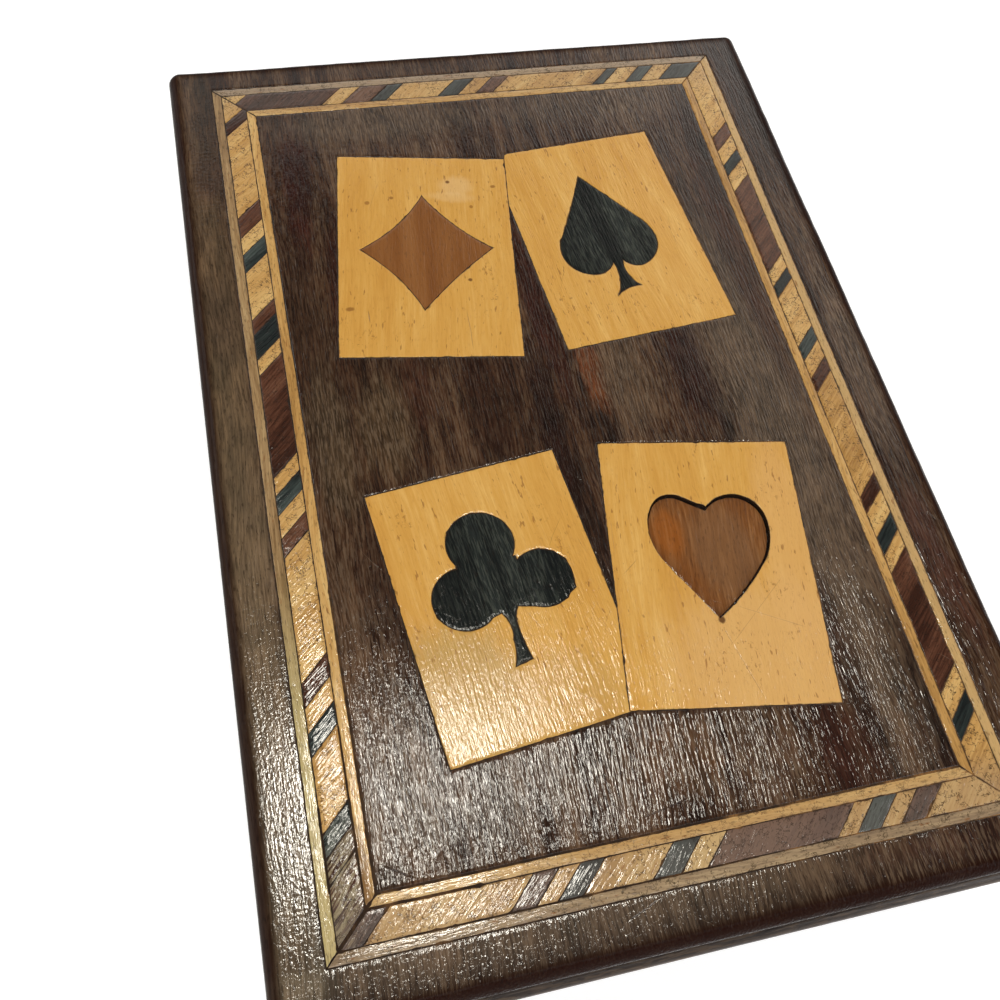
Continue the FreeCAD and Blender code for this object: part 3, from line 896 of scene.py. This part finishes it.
def dressed_face(solid, rings, height, marks, near=0.5, far=1.5, reach=1.1):
    """A top face through the rings: fine by its edges, gently uneven, with its marks."""
    loops = [np.array([solid.points[i][:2] for i in ring]) for ring in rings]
    tree = tree_of(np.concatenate(loops))
    new, ties = cut_marks(solid, marks, loops, tree, height)
    grooves = tree_of([solid.points[i][:2] for i in new]) if new else None
    for spacing, nearest, furthest in ((near, 0.28, reach), (far, reach, 1e9)):
        points = net(loops, spacing)
        away = np.array([tree.find((x, y, 0))[2] for x, y in points])
        keep = (away >= nearest) & (away < furthest)
        if grooves:
            keep &= np.array([grooves.find((x, y, 0))[2] > 0.2 for x, y in points])
        points, away = points[keep], away[keep]
        if len(points):
            sag = 0.012 * (1 + waves(points, 9.0, 4.4)) * np.clip(away / 2, 0, 1)
            new += solid.add(points, height - sag, np.exp(-(away / 0.35) ** 2))
    solid.cap(rings, new, ties)


# ---------------------------------------------------------------- the inlay

def rounded_rim(solid, loop, height, rim, steps=3):
    """Rings over an arris of a small radius, from the wall to the flat face."""
    rings = []
    for k in range(steps + 1):
        angle = math.pi / 2 * k / steps
        rings.append(solid.add(inset(loop, rim * (1 - math.cos(angle))),
                               height - rim * (1 - math.sin(angle)), 1.0 - 0.2 * k / steps))
    return rings


# Joints that have opened: their two ends on the top, and how far each side has drawn back.
open_joints = (
    ((8.9, 144), (12.9, 140.2), 0.14),
    ((13, 140.75), (26, 140.75), 0.10),
    ((8.55, 128.5), (8.55, 137.5), 0.08),
    ((14, 139), (92, 139), 0.07),
    ((14, 100), (14, 139), 0.10),
    ((12.5, 119), (12.5, 138), 0.06),
    ((18, 144.4), (60, 144.4), 0.04),
)


def along_joints(points):
    """How far each point is drawn back by the open joint that it lies on."""
    drawn = np.zeros(len(points))
    for start, end, width in open_joints:
        a, b = np.array(on_top(*start)), np.array(on_top(*end))
        share = np.clip((points - a) @ (b - a) / ((b - a) @ (b - a)), 0, 1)
        away = np.hypot(*(points - a - share[:, None] * (b - a)).T)
        drawn = np.maximum(drawn, width * np.clip((0.6 - away) / 0.3, 0, 1))
    return drawn


def worn_outline(loop, seed, chips=0.12):
    """The outline of one piece beside its glue line: a little loose, chipped in places."""
    slack = 0.012 * (1 + waves(loop, 2.2, seed))
    chipped = np.clip(waves(loop, 1.1, seed + 50) - 0.35, 0, 1) * chips * 2.0
    return inset(loop, slack + chipped + along_joints(loop))


# The far left corner of the spade card ends beside the diamond card's corner: points of the
# CAD outlines there, and what takes their place.
trimmed_corner = (
    ((51.667, 26.087), ((54.8, 25.794),)),
    ((51.709, 26.54), ((54.3, 26.1),)),
    ((51.608, 26.526), ((54.0, 26.854),)),
    ((51.558, 25.997), ((54.22, 26.05), (54.76, 25.69))),
)


def trimmed(loop):
    """The outline without the spade card's corner, where it has that corner."""
    same_place = 0.02
    made = []
    for point in loop:
        moved = [new for old, new in trimmed_corner
                 if np.hypot(*(point - on_top(*old))) < same_place]
        made += [on_top(*new) for new in moved[0]] if moved else [point]
    return np.array(made)


inlay_marks = top_marks + hairlines(60, 11)
glue_outlines = []
# How strongly the wall of the heart's hole is painted dark as shade.
heart_wall_shade = 1.4


def inlay(node, wood, sink, rim=0.05, chips=0.12):
    """A piece of veneer: its CAD outline, hand cut and worn, with rounded arrises.

    It lies lower than its solid by the sink. The wall of the heart's hole, which shows
    above the sunk pip, is painted dark as shade.
    """
    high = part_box(node)[1].z / MM
    solid = Solid()
    rings = []
    feet = []
    seed = sum(map(ord, node)) * 0.37
    for loop in face_loops(node, high):
        outline = worn_outline(hand_cut(resampled(trimmed(loop))), seed, chips)
        # The heart card's feet take the same painted shade as the wall of its hole.
        foot = solid.add(outline, inlay_floor,
                         mark=heart_wall_shade if node == "heart_card" else 0.0)
        sides = [foot]
        if node == "heart_pip":
            outline = inset(outline, 0.12)
        elif node == "heart_card" and np.ptp(loop[:, 0]) < 20:
            # This wall shows above the sunk heart pip; it is painted dark as shade.
            sides.append(solid.add(outline, high - sink - rim - 0.03, mark=heart_wall_shade))
        else:
            glue_outlines.append(outline)
        arris = rounded_rim(solid, outline, high - sink, rim)
        sides += arris
        for low, above in zip(sides, sides[1:]):
            solid.band(low, above)
        rings.append(arris[-1])
        feet.append(foot)
    dressed_face(solid, rings, high - sink, inlay_marks)
    solid.cap(feet, up=False)
    solid.make(node + "_veneer", wood, "case", [node])


def make_inlay():
    """The cards, their pips and the border's strings and bands."""
    dice = random.Random(21)
    for suit in card_turns:
        inlay(suit + "_card", suit + "_card_maple", dice.uniform(0.0, 0.03),
              chips=0.2)
        black = "_black" if suit in ("spade", "club") else ""
        sink = 0.3 if suit == "heart" else dice.uniform(0.01, 0.03)
        inlay(suit + "_pip", suit + "_pip" + black, sink, rim=0.025)
    for side in ("left", "near", "right", "far"):
        way = "along" if side in ("left", "right") else "across"
        for ring in ("outer_string_", "inner_string_"):
            inlay(ring + side, ring + way, dice.uniform(0.0, 0.05))
        for tone in ("pale", "brown", "black"):
            inlay(f"band_{side}_{tone}", "band_" + tone,
                  dice.uniform(0.0, 0.05), chips=0.2)


# ---------------------------------------------------------------- the dark top

def rim_rectangle(offset, step=0.8, arc_steps=10):
    """The top's outline, moved inwards by an offset; every offset has the same points."""
    radius = corner_radius - offset
    x, y = half_width - corner_radius, half_length - corner_radius
    points = []
    corners = ((x, -y, -90), (x, y, 0), (-x, y, 90), (-x, -y, 180))
    for i, (cx, cy, start) in enumerate(corners):
        for k in range(arc_steps + 1):
            angle = math.radians(start + 90 * k / arc_steps)
            points.append((cx + radius * math.cos(angle), cy + radius * math.sin(angle)))
        length = 2 * (y if i % 2 == 0 else x)
        count = int(length / step)
        nx, ny, following = corners[(i + 1) % 4]
        angle = math.radians(following)
        end = (nx + radius * math.cos(angle), ny + radius * math.sin(angle))
        begin = points[-1]
        for k in range(1, count):
            points.append((begin[0] + (end[0] - begin[0]) * k / count,
                           begin[1] + (end[1] - begin[1]) * k / count))
    return np.array(points)


def make_top():
    """The dark board: worn round edge, shallow pockets and the grooves of its scratches."""
    solid = Solid()
    base = rim_rectangle(0.0)
    wear = 0.10 * (1 + waves(base, 14.0, 2.2)) + 0.05 * (1 + waves(base, 2.5, 6.1))
    steps = 9
    underside = solid.add(rim_rectangle(0.25), top_underside)
    rings = [underside, solid.add(rim_rectangle(0.04), top_underside + 0.2, 0.6)]
    for k in range(steps + 1):
        angle = math.pi / 2 * k / steps
        offset = top_edge_radius * (1 - math.cos(angle))
        height = top_height - top_edge_radius * (1 - math.sin(angle))
        loop = inset(rim_rectangle(offset), wear * math.sin(2 * angle))
        rings.append(solid.add(loop, height - wear * 0.5 * math.sin(2 * angle), 0.0))
    for low, high in zip(rings, rings[1:]):
        solid.band(low, high)
    solid.cap([underside], up=False)
    face_rings = [rings[-1]]
    floor_rings = []
    for loop in face_loops("top_panel", top_height):
        if np.ptp(loop[:, 0]) > 2 * (half_width - top_edge_radius) - 1:
            continue
        outline = worn_outline(hand_cut(resampled(trimmed(loop))), 77.7)
        glue_outlines.append(outline)
        floor = solid.add(outline, inlay_floor)
        arris = rounded_rim(solid, outline, top_height, 0.07)
        for low, high in zip([floor] + arris, arris):
            solid.band(low, high)
        face_rings.append(arris[-1])
        floor_rings.append(floor)
    solid.cap(floor_rings)
    dressed_face(solid, face_rings, top_height, inlay_marks)
    solid.make("rosewood_top_board", "rosewood_top", "case", ["top_panel"])


def make_glue():
    """The old glue and grime that fill the joints of the marquetry, a little sunk."""
    solid = Solid()
    tops, feet = [], []
    for loop in glue_outlines:
        sunk = 0.05 + 0.02 * waves(loop, 1.7, 5.5)
        tops.append(solid.add(loop, top_height - sunk))
        feet.append(solid.add(loop, inlay_floor))
        solid.band(tops[-1], feet[-1])
    solid.cap(tops)
    solid.cap(feet, up=False)
    solid.make("glue_lines", "old_glue", "case", [])


# ---------------------------------------------------------------- boards of the case and drawer

def board(node, wood, body, rim=0.25, step=1.2):
    """A board of even plan, with softened arrises round its top and its underside."""
    low, high = (corner.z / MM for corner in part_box(node))
    solid = Solid()
    tops, feet = [], []
    seed = sum(map(ord, node)) * 0.53
    for loop in face_loops(node, high):
        outline = resampled(loop, step)
        outline = inset(outline, 0.02 + 0.015 * (1 + waves(outline, 9.0, seed)))
        up = rounded_rim(solid, outline, high, rim)
        down = [solid.add(np.array([solid.points[i][:2] for i in ring]),
                          low + high - solid.points[ring[0]][2]) for ring in reversed(up)]
        rings = down + up
        for a, b in zip(rings, rings[1:]):
            solid.band(a, b)
        tops.append(up[-1])
        feet.append(down[0])
    solid.cap(tops)
    solid.cap(feet, up=False)
    solid.make(node + "_board", wood, body, [node])


def dress(node, wood, arris=0.25):
    """A CAD node kept as it is, with softened arrises and a wood of its own."""
    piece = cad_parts[node]
    piece.data.materials.clear()
    piece.data.materials.append(woods[wood])
    weld = piece.modifiers.new("weld", "WELD")
    weld.merge_threshold = weld_distance
    bevel = piece.modifiers.new("arrises", "BEVEL")
    bevel.width = arris * MM
    bevel.segments = 3
    bevel.limit_method = "ANGLE"
    bevel.angle_limit = math.radians(35)


def make_case():
    """The backing of the top, the walls and the bottom board."""
    board("top_backing", "pale_backing", "case", rim=0.2)
    board("left_wall", "rosewood_along", "case")
    board("right_wall", "rosewood_along", "case")
    board("back_wall", "rosewood_across", "case")
    dress("bottom_board", "rosewood_along", 0.2)


def make_drawer():
    """The drawer's boards, which keep their solids' shapes."""
    dress("drawer_front", "rosewood_front", 0.2)
    for node in ("drawer_left_side", "drawer_right_side", "drawer_bottom"):
        dress(node, "drawer_along")
    for node in ("drawer_back", "drawer_divider"):
        dress(node, "drawer_across")


make_top()
make_inlay()
make_glue()
make_case()
make_drawer()

bpy.context.scene.view_settings.view_transform = "Standard"
